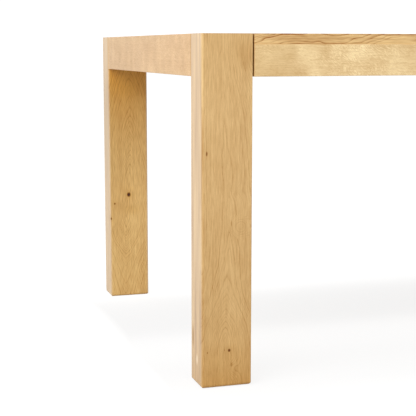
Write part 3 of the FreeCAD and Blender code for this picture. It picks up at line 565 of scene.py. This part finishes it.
# Node, axes, where it starts and ends, its heart across and into, its wander, fleck and contrast
OTHER_BOARDS = (
    ("right_front_leg", "XYZ", 0, 760, 838, -420, 26, 0.25, 1.0),
    ("right_rear_leg", "XYZ", 0, 760, 850, 470, 26, 0.25, 1.0),
    ("right_end_board", "ZXY", -430, 430, 600, 860, 16, 0.5, 0.7),
    ("rear_rail", "ZYX", -800, 800, 780, 440, 20, 0.4, 0.9),
    ("left_end_strip", "XZY", -430, 430, -830, 690, 22, 0.3, 1.0),
    ("right_end_strip", "XZY", -430, 430, 830, 690, 22, 0.3, 1.0),
    ("left_inner_rail", "ZXY", -480, 480, 640, 0, 20, 0.4, 0.9),
    ("right_inner_rail", "ZXY", -480, 480, 800, 0, 20, 0.4, 0.9),
    ("left_cross_rail", "ZXY", -480, 480, 800, 0, 20, 0.4, 0.9),
    ("right_cross_rail", "ZXY", -480, 480, 640, 0, 20, 0.4, 0.9),
    ("left_strap", "XZY", -480, 480, -360, 620, 20, 0.3, 0.9),
    ("middle_strap", "XZY", -480, 480, 20, 620, 20, 0.3, 0.9),
    ("right_strap", "XZY", -480, 480, 420, 620, 20, 0.3, 0.9),
)
timber = random.Random(4)  # the same stack each time


def another_track(low, high, across, into, wander):
    """A heart line that wanders along a board."""
    steps = [low + (high - low) * i / 5 for i in range(6)]
    return [
        (at, across + timber.uniform(-wander, wander) / 2, into + timber.uniform(-wander, wander))
        for at in steps
    ]


def another_board(node, axes, low, high, across, into, wander, fleck, contrast):
    """A board with a tone of its own."""
    light = timber.choice(OTHER_LIGHTS)
    deep = timber.choice(OTHER_DEEPS)
    return Board(node, axes, light, deep, fleck, contrast, another_track(low, high, across, into, wander))


for number in range(2, PANEL_BOARDS + 1):
    middle = FRONT + PANEL_BOARD * (number - 0.5)
    into = timber.choice(PANEL_HEARTS)
    across = middle + timber.uniform(-PANEL_OFFSET, PANEL_OFFSET)
    BOARDS.append(
        another_board(f"top_board_{number}", "YZX", -PANEL_END, PANEL_END, across, into, 24, 0.3, 1.1)
    )
for row in OTHER_BOARDS:
    BOARDS.append(another_board(*row))

for number, board in enumerate(BOARDS):
    nodes[board.node].material_slots[0].material = oiled_oak(board, number)

# ---------------------------------------------------------------------- beech, steel, felt and rubber

BEECH_GRAIN = Streak(9.0, 260.0, detail=3.0)
BEECH_FLECK = Streak(0.8, 3.5, detail=1.0)  # beech has short rays all over
BEECH_FLECK_CUT = {"From Min": 0.60, "From Max": 0.72, "To Max": 0.55}
BEECH_NAP = Streak(0.6, 30.0, detail=1.0)  # what the plane leaves of the fibres
ZINC_MOTTLE = 3.846
FELT_FIBRE = 0.6667  # real fibres are 0.03 thick, too fine to show, so they are drawn as tufts
RUBBER_DUST = 2.0


def fine_noise(tree, size, detail, distortion=0.0):
    """Noise that is alike each way, of a size in millimetres."""
    place = add(tree, "TexCoord").node.outputs["Object"]
    return add(tree, "TexNoise", {"Vector": place, "Scale": 1 / (size * MM), "Detail": detail,
                                  "Distortion": distortion})


def waxed_beech():
    """Beech from the plane, waxed where it slides. It is even and pinkish, with small brown flecks."""
    material, tree, shader = new_material("waxed beech")
    place = board_place(tree, "YZX")
    tone = streaks(tree, place, BEECH_GRAIN)
    wood = add(tree, "Mix", {"Factor": tone, "A": linear("#DDB48A"), "B": linear("#BF8C5E")},
               data_type="RGBA")
    fleck = add(tree, "MapRange", {"Value": streaks(tree, place, BEECH_FLECK), **BEECH_FLECK_CUT})
    flecked = add(tree, "Mix", {"Factor": fleck, "A": wood, "B": linear("#8F5C36")}, data_type="RGBA")
    tree.links.new(flecked, shader.inputs["Base Color"])
    shader.inputs["Roughness"].default_value = 0.42
    bump = add(tree, "Bump", {"Height": streaks(tree, place, BEECH_NAP), "Distance": MM, "Strength": 0.06})
    tree.links.new(bump, shader.inputs["Normal"])
    return material


def zinc_plated_steel():
    """Steel in a bright zinc plating, which is faintly blue, with the soft mottling of the bath."""
    material, tree, shader = new_material("zinc-plated steel")
    bath = fine_noise(tree, ZINC_MOTTLE, detail=3.0)
    colour = add(tree, "Mix", {"Factor": bath, "A": linear("#B9BEC2"), "B": linear("#D6D8D2")},
                 data_type="RGBA")
    tree.links.new(colour, shader.inputs["Base Color"])
    shader.inputs["Metallic"].default_value = 1.0
    rough = add(tree, "MapRange", {"Value": bath, "To Min": 0.26, "To Max": 0.44})
    tree.links.new(rough, shader.inputs["Roughness"])
    return material


def pressed_felt():
    """Felt pressed from short brown fibres, which leave it matt and fuzzy."""
    material, tree, shader = new_material("pressed felt")
    fibres = fine_noise(tree, FELT_FIBRE, detail=4.0, distortion=1.5)
    colour = add(tree, "Mix", {"Factor": fibres, "A": linear("#4A3B2E"), "B": linear("#8C7760")},
                 data_type="RGBA")
    tree.links.new(colour, shader.inputs["Base Color"])
    shader.inputs["Roughness"].default_value = 0.95
    shader.inputs["Sheen Weight"].default_value = 0.35
    bump = add(tree, "Bump", {"Height": fibres, "Distance": MM, "Strength": 0.5})
    tree.links.new(bump, shader.inputs["Normal"])
    return material


def matt_rubber():
    """Black moulded rubber, with an even surface that holds a little dust."""
    material, tree, shader = new_material("matt rubber")
    dust = fine_noise(tree, RUBBER_DUST, detail=2.0)
    colour = add(tree, "Mix", {"Factor": dust, "A": linear("#1B1B1C"), "B": linear("#343434")},
                 data_type="RGBA")
    tree.links.new(colour, shader.inputs["Base Color"])
    shader.inputs["Roughness"].default_value = 0.75
    return material


zinc = zinc_plated_steel()
FINISHES = {
    "beech": waxed_beech(),
    "zinc_screws": zinc,
    "steel_fittings": zinc,
    "felt": pressed_felt(),
    "rubber_buffers": matt_rubber(),
}
slot_of = {part["node"]: part["material_slot"] for part in frame["record"]["subparts"]}
for node, slot in slot_of.items():
    if slot in FINISHES:
        nodes[node].material_slots[0].material = FINISHES[slot]

# ---------------------------------------------------------------------- turned fittings

# Screws. Each width is a radius.
SHANK = 2.0 * MM
POINT = SHANK * 0.08
TIP = 4.0 * MM  # length of the taper to the point
HEAD = 4.0 * MM
HEAD_HEIGHT = 2.2 * MM
FLAT_RIM = 0.25 * MM  # the upright rim of a flat head
PAN_CROWN = 1.8 * MM  # the flat in the middle of a pan head
PAN_ROUND = HEAD_HEIGHT * 0.8  # how far down its round goes
PAN_UNDERSIDE = 0.01 * MM  # its underside is as good as level
RECESS = (HEAD * 1.05, HEAD * 0.22, HEAD_HEIGHT * 1.4)  # length, width and height of each bar of the cross
RECESS_MIDDLE = HEAD_HEIGHT * 0.3
RECESS_TAPER = 0.5
THREAD_DEPTH = 0.45 * MM
THREAD_PITCH = 1.8 * MM
THREAD_STEPS = 14  # to a turn
BARE_SHANK = 0.35  # share of the length that has no thread
NECK = HEAD_HEIGHT * 1.5  # and even a short screw has none this near to the top of its head

# Dowels, pins, pads and buffers
DOWEL_RADIUS = 4.0 * MM
DOWEL_EASE = 1.0 * MM
FLUTES = 18
FLUTE_DEPTH = 0.3 * MM
PIN_RADIUS = 4.0 * MM
PIN_NOSE = 3.2 * MM
PIN_TIP = PIN_RADIUS * 0.2
PAD_RADIUS = 12.0 * MM
PAD_RIM = 0.5 * MM
BUFFER_RADIUS = 6.0 * MM
BUFFER_TOP = BUFFER_RADIUS * 0.3
BUFFER_SIDE = 0.45  # share of its height that is upright

SMOOTH_UNDER = math.radians(35)  # edges flatter than this are shaded as round
CLOSE = 0.01 * MM  # nearer than this, points are at the same height
SAME = 0.001 * MM  # and nearer than this, they are one point


def select_only(*objects):
    """Selects these and nothing else, and makes the first one active."""
    bpy.ops.object.select_all(action="DESELECT")
    for each in objects:
        each.select_set(True)
    bpy.context.view_layer.objects.active = objects[0]


def drawn_out(rings, sides):
    """A turned piece along +Z, drawn out from a disc through rings of a radius and a height, in metres."""
    radius, height = rings[0]
    bpy.ops.mesh.primitive_circle_add(vertices=sides, radius=radius, fill_type="NGON",
                                      location=(0, 0, height))
    piece = bpy.context.object
    bpy.ops.object.transform_apply(location=True)
    bpy.ops.object.mode_set(mode="EDIT")
    for next_radius, next_height in rings[1:]:
        bpy.ops.mesh.extrude_region_move(TRANSFORM_OT_translate={"value": (0, 0, next_height - height)})
        share = next_radius / radius
        bpy.ops.transform.resize(value=(share, share, 1), center_override=(0, 0, next_height))
        radius, height = next_radius, next_height
    bpy.ops.mesh.select_all(action="SELECT")
    bpy.ops.mesh.normals_make_consistent(inside=False)
    bpy.ops.object.mode_set(mode="OBJECT")
    bpy.ops.object.shade_smooth_by_angle(angle=SMOOTH_UNDER)
    return piece


def quarter_round(start, end, steps):
    """Rings along a quarter of an ellipse from one ring to another. It is level where the rings are narrower,
    and upright where they are wider."""
    rings = []
    for step in range(1, steps + 1):
        turn = math.pi / 2 * step / steps
        if end[0] < start[0]:
            out, up = math.cos(turn), math.sin(turn)
            rings.append((end[0] + (start[0] - end[0]) * out, start[1] + (end[1] - start[1]) * up))
        else:
            out, up = math.sin(turn), 1 - math.cos(turn)
            rings.append((start[0] + (end[0] - start[0]) * out, start[1] + (end[1] - start[1]) * up))
    return rings


def cut_away(piece, cutter):
    """Takes one piece's shape out of another, and removes it."""
    cut = piece.modifiers.new("cut", "BOOLEAN")
    cut.object = cutter
    select_only(piece)
    bpy.ops.object.modifier_apply(modifier=cut.name)
    bpy.data.objects.remove(cutter)


def recess_bar(turn):
    """A bar that tapers towards its far end, one of the two that cut the cross in the head of a screw."""
    bpy.ops.mesh.primitive_cube_add(size=1, location=(0, 0, RECESS_MIDDLE), rotation=(0, 0, turn))
    bar = bpy.context.object
    bar.scale = RECESS
    bpy.ops.object.transform_apply()
    bpy.ops.object.mode_set(mode="EDIT")
    bpy.ops.mesh.select_all(action="DESELECT")
    bpy.ops.object.mode_set(mode="OBJECT")
    for face in bar.data.polygons:
        face.select = face.normal.z > 0.9
    bpy.ops.object.mode_set(mode="EDIT")
    bpy.ops.transform.resize(value=(RECESS_TAPER, RECESS_TAPER, 1))
    bpy.ops.object.mode_set(mode="OBJECT")
    return bar


def thread(start, end):
    """The thread of a screw, a ridge of three sides wound along the shank."""
    bpy.ops.mesh.primitive_circle_add(vertices=3, radius=THREAD_DEPTH, location=(SHANK, 0, start),
                                      rotation=(math.pi / 2, math.pi / 2, 0))
    ridge = bpy.context.object
    bpy.ops.object.transform_apply()
    turns = int((end - start) / THREAD_PITCH)
    wound = ridge.modifiers.new("wound", "SCREW")
    wound.angle = 2 * math.pi * turns
    wound.screw_offset = THREAD_PITCH * turns
    wound.steps = wound.render_steps = THREAD_STEPS * turns
    bpy.ops.object.modifier_apply(modifier=wound.name)
    bpy.ops.object.mode_set(mode="EDIT")
    bpy.ops.mesh.select_all(action="SELECT")
    bpy.ops.mesh.fill_holes(sides=3)
    bpy.ops.mesh.select_all(action="SELECT")
    bpy.ops.mesh.normals_make_consistent(inside=False)
    bpy.ops.object.mode_set(mode="OBJECT")
    return ridge


def wood_screw(head, length):
    """A wood screw along +Z from the top of its head, with a cross recess and a thread."""
    screw = drawn_out([*head, (SHANK, length - TIP), (POINT, length)], sides=24)
    for turn in (0, math.pi / 2):
        cut_away(screw, recess_bar(turn))
    ridge = thread(max(NECK, length * BARE_SHANK), length - TIP)
    select_only(screw, ridge)
    bpy.ops.object.join()
    return screw


def flat_head_screw(length):
    """A screw whose head is sunk flush."""
    return wood_screw([(HEAD, 0.0), (HEAD, FLAT_RIM), (SHANK, HEAD_HEIGHT)], length)


def pan_head_screw(length):
    """A screw whose round head stands on the work."""
    crown = (PAN_CROWN, 0.0)
    shoulder = quarter_round(crown, (HEAD, PAN_ROUND), 4)
    return wood_screw([crown, *shoulder, (HEAD, HEAD_HEIGHT), (SHANK, HEAD_HEIGHT + PAN_UNDERSIDE)], length)


def dowel(length):
    """A beech dowel along +Z with eased ends and flutes, which let the glue rise past it."""
    neck = DOWEL_RADIUS - DOWEL_EASE
    barrel = [(DOWEL_RADIUS, DOWEL_EASE), (DOWEL_RADIUS, length - DOWEL_EASE)]
    piece = drawn_out([(neck, 0.0), *barrel, (neck, length)], sides=2 * FLUTES)
    select_only(piece)
    bpy.ops.object.mode_set(mode="EDIT")
    bpy.ops.mesh.select_mode(type="VERT")
    bpy.ops.mesh.select_all(action="DESELECT")
    bpy.ops.object.mode_set(mode="OBJECT")
    for point in piece.data.vertices:
        turn = round(math.atan2(point.co.y, point.co.x) * FLUTES / math.pi)
        point.select = turn % 2 == 0 and point.co.xy.length > (neck + DOWEL_RADIUS) / 2
    share = 1 - FLUTE_DEPTH / DOWEL_RADIUS
    bpy.ops.object.mode_set(mode="EDIT")
    bpy.ops.transform.resize(value=(share, share, 1), center_override=(0, 0, 0))
    bpy.ops.object.mode_set(mode="OBJECT")
    bpy.ops.object.shade_smooth_by_angle(angle=SMOOTH_UNDER)
    return piece


def alignment_pin(length):
    """A pin along +Z with a round nose."""
    shoulder = (PIN_RADIUS, length - PIN_NOSE)
    nose = quarter_round(shoulder, (PIN_TIP, length), 6)
    return drawn_out([(PIN_RADIUS, 0.0), shoulder, *nose], sides=32)


def felt_pad(length):
    """A felt disc with a soft lower rim, from the top down."""
    shoulder = (PAD_RADIUS, length - PAD_RIM)
    rim = quarter_round(shoulder, (PAD_RADIUS - PAD_RIM, length), 4)
    return drawn_out([(PAD_RADIUS, 0.0), shoulder, *rim], sides=48)


def buffer(length):
    """A rubber buffer with a shallow dome."""
    shoulder = (BUFFER_RADIUS, length * BUFFER_SIDE)
    dome = quarter_round(shoulder, (BUFFER_TOP, length), 6)
    return drawn_out([(BUFFER_RADIUS, 0.0), shoulder, *dome], sides=40)


def solids_of(node):
    """The corners of each solid in a CAD node. The node stays as it is, and a copy is taken apart."""
    copy = nodes[node].copy()
    copy.data = copy.data.copy()
    bpy.context.scene.collection.objects.link(copy)
    select_only(copy)
    bpy.ops.object.mode_set(mode="EDIT")
    bpy.ops.mesh.select_all(action="SELECT")
    bpy.ops.mesh.remove_doubles(threshold=SAME)
    bpy.ops.mesh.separate(type="LOOSE")
    bpy.ops.object.mode_set(mode="OBJECT")
    solids = list(bpy.context.selected_objects)
    corners = [[corner.co.copy() for corner in solid.data.vertices] for solid in solids]
    for solid in solids:
        bpy.data.objects.remove(solid)
    return corners


def lie_of(corners, flat):
    """Where a turned solid starts, the way it points, and its length. It starts at its wider end, or at the
    one nearer the middle of the table where both are alike. Flat tells a disc, which is shorter than it is
    wide."""
    low = Vector([min(corner[i] for corner in corners) for i in range(3)])
    high = Vector([max(corner[i] for corner in corners) for i in range(3)])
    size = high - low
    axis = min(range(3), key=lambda i: size[i]) if flat else max(range(3), key=lambda i: size[i])
    middle = (low + high) / 2

    def width_at(end):
        near = [corner for corner in corners if abs(corner[axis] - end) < CLOSE]
        return max((Vector(corner[i] - middle[i] for i in range(3) if i != axis)).length for corner in near)

    start, end = sorted((low[axis], high[axis]), key=abs)
    if width_at(end) > width_at(start) + CLOSE:
        start, end = end, start
    place = middle.copy()
    place[axis] = start
    way = Vector((0, 0, 0))
    way[axis] = 1 if end > start else -1
    return place, way, size[axis]


def fit(name, node, make, flat=False):
    """Makes the turned pieces that stand for a CAD node: each is modelled once for its length, and copied."""
    patterns = {}
    copies = []
    for corners in solids_of(node):
        place, way, length = lie_of(corners, flat)
        key = round(length / MM, 2)
        if key not in patterns:
            patterns[key] = make(length)
        copy = patterns[key].copy()
        copy.data = copy.data.copy()
        copy.rotation_euler = way.to_track_quat("Z", "Y").to_euler()
        copy.location = place
        bpy.context.scene.collection.objects.link(copy)
        copies.append(copy)
    for pattern in patterns.values():
        bpy.data.objects.remove(pattern)
    select_only(*copies)
    bpy.ops.object.join()
    piece = bpy.context.object
    bpy.ops.object.transform_apply()
    piece.name = name
    piece.data.materials.clear()
    piece.data.materials.append(FINISHES[slot_of[node]])
    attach(piece, nodes[node]["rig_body"])
    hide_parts(node)


fit("guide_screw_set", "guide_screws", flat_head_screw)
fit("strap_screw_set", "strap_screws", flat_head_screw)
fit("clip_screw_set", "clip_screws", pan_head_screw)
fit("centre_dowel_set", "centre_dowels", dowel)
fit("buffer_set", "stop_buffers", buffer, flat=True)
for side in ("left", "right"):
    fit(f"{side}_bracket_screw_set", f"{side}_bracket_screws", flat_head_screw)
    fit(f"{side}_dowel_set", f"{side}_end_dowels", dowel)
    fit(f"{side}_pin_set", f"{side}_alignment_pins", alignment_pin)
    fit(f"{side}_pad_set", f"{side}_foot_pads", felt_pad, flat=True)

# ---------------------------------------------------------------------- floor, lights and camera

FLOOR = 60.0  # metres across
PAPER_BOUNCE = 0.6  # how much of the light the floor sends back up
PAPER_SHADOW = 0.15  # how much of the light and the shadows on it can be seen
PAPER_GLOW = [  # how white it glows without them, from in front of the table to behind it, in metres; the dip under the table is a painted shadow
    (-1.1, 1.0), (-0.65, 0.92), (-0.4, 0.87), (-0.15, 0.89), (0.05, 0.83), (0.22, 0.84), (0.45, 0.95),
    (0.65, 1.0),
]
PAPER_SIDES = {"From Min": 0.68, "From Max": 1.00}  # beside the table it turns to plain white, between these
SKY = 0.33  # the light from all round
BACKDROP = 1.1  # the white that is seen behind the table
SOFTBOXES = (  # name, place, target and size in metres, power in watts
    ("key", (-3.5, -2.5, 3.0), (-0.6, -0.3, 0.5), 3.2, 131),
    ("side fill", (-4.5, -0.6, 0.8), (-0.9, 0.0, 0.4), 2.0, 11),
    ("front fill", (3.0, -3.5, 2.5), (0.0, 0.0, 0.5), 2.0, 26),
    ("back fill", (-3.2, 3.0, 1.5), (-0.9, 0.0, 0.4), 2.0, 18),
    ("low fill", (-0.2, -3.2, 0.35), (-0.8, 0.4, 0.3), 1.0, 14),
)
CAMERA_PLACE = (-1.5532, -2.6639, 0.7301)
CAMERA_DOWN = math.radians(8.397)
CAMERA_RIGHT = math.radians(17.152)
CAMERA_LENS = 93.925  # millimetres, on this sensor
CAMERA_SENSOR = 36.0


def in_sight(tree):
    """1 for what is looked at, also in a reflection, and 0 for light on its way between surfaces."""
    path = add(tree, "LightPath").node.outputs
    return add(tree, "Math", [path["Is Camera Ray"], path["Is Glossy Ray"]], operation="MAXIMUM")


def white_paper():
    """Matt white paper, rolled out under the table and lit from all sides. It looks nearly white everywhere.
    Its glow dips under the table, a painted shadow that deepens the faint, soft real shadow there."""
    material, tree, shader = new_material("white paper floor")
    shader.inputs["Roughness"].default_value = 0.9
    shader.inputs["Specular IOR Level"].default_value = 0.0
    seen = in_sight(tree)
    tint = add(tree, "MapRange", {"Value": seen, "To Min": PAPER_BOUNCE, "To Max": PAPER_SHADOW})
    tree.links.new(tint, shader.inputs["Base Color"])
    spot = add(tree, "SeparateXYZ", [add(tree, "TexCoord").node.outputs["Object"]]).node.outputs
    aside = add(tree, "Math", [spot["X"]], operation="ABSOLUTE")
    beside = add(tree, "MapRange", {"Value": aside, **PAPER_SIDES})
    # the glow curve dips under the table: a painted shadow
    strength = add(tree, "Math", [track(tree, spot["Y"], PAPER_GLOW), beside], operation="MAXIMUM")
    glow = add(tree, "Emission", {"Color": linear(WHITE), "Strength": strength})
    lit = add(tree, "AddShader", [shader.outputs[0], glow])
    mixed = add(tree, "MixShader", [seen, shader.outputs[0], lit])
    tree.links.new(mixed, tree.nodes["Material Output"].inputs["Surface"])
    material.cycles.emission_sampling = "NONE"  # the glow is only looked at, and lights nothing
    return material


def softbox(name, place, target, size, power):
    """A square area light at a place, turned to a target."""
    light = bpy.data.lights.new(name, "AREA")
    light.size = size
    light.energy = power
    lamp = bpy.data.objects.new(name, light)
    lamp.location = place
    lamp.rotation_euler = (Vector(target) - Vector(place)).to_track_quat("-Z", "Y").to_euler()
    bpy.context.scene.collection.objects.link(lamp)


bpy.ops.object.select_all(action="DESELECT")
bpy.ops.mesh.primitive_plane_add(size=FLOOR)
floor = bpy.context.object
floor.name = "floor"
floor.data.materials.append(white_paper())

world = bpy.data.worlds.new("studio")
bpy.context.scene.world = world
world.use_nodes = True
world.cycles.sampling_method = "NONE"  # it is even, so no part of it needs to be sought out
sky = world.node_tree.nodes["Background"]
sky.inputs["Color"].default_value = linear(WHITE)
strength = {"Value": in_sight(world.node_tree), "To Min": SKY, "To Max": BACKDROP}
world.node_tree.links.new(add(world.node_tree, "MapRange", strength), sky.inputs["Strength"])

for lamp in SOFTBOXES:
    softbox(*lamp)

camera = bpy.data.objects.new("camera", bpy.data.cameras.new("camera"))
camera.location = CAMERA_PLACE
camera.rotation_euler = (math.pi / 2 - CAMERA_DOWN, 0.0, -CAMERA_RIGHT)
camera.data.lens = CAMERA_LENS
camera.data.sensor_width = CAMERA_SENSOR
camera.data.sensor_fit = "HORIZONTAL"
bpy.context.scene.collection.objects.link(camera)
bpy.context.scene.camera = camera
bpy.context.scene.view_settings.view_transform = "Standard"
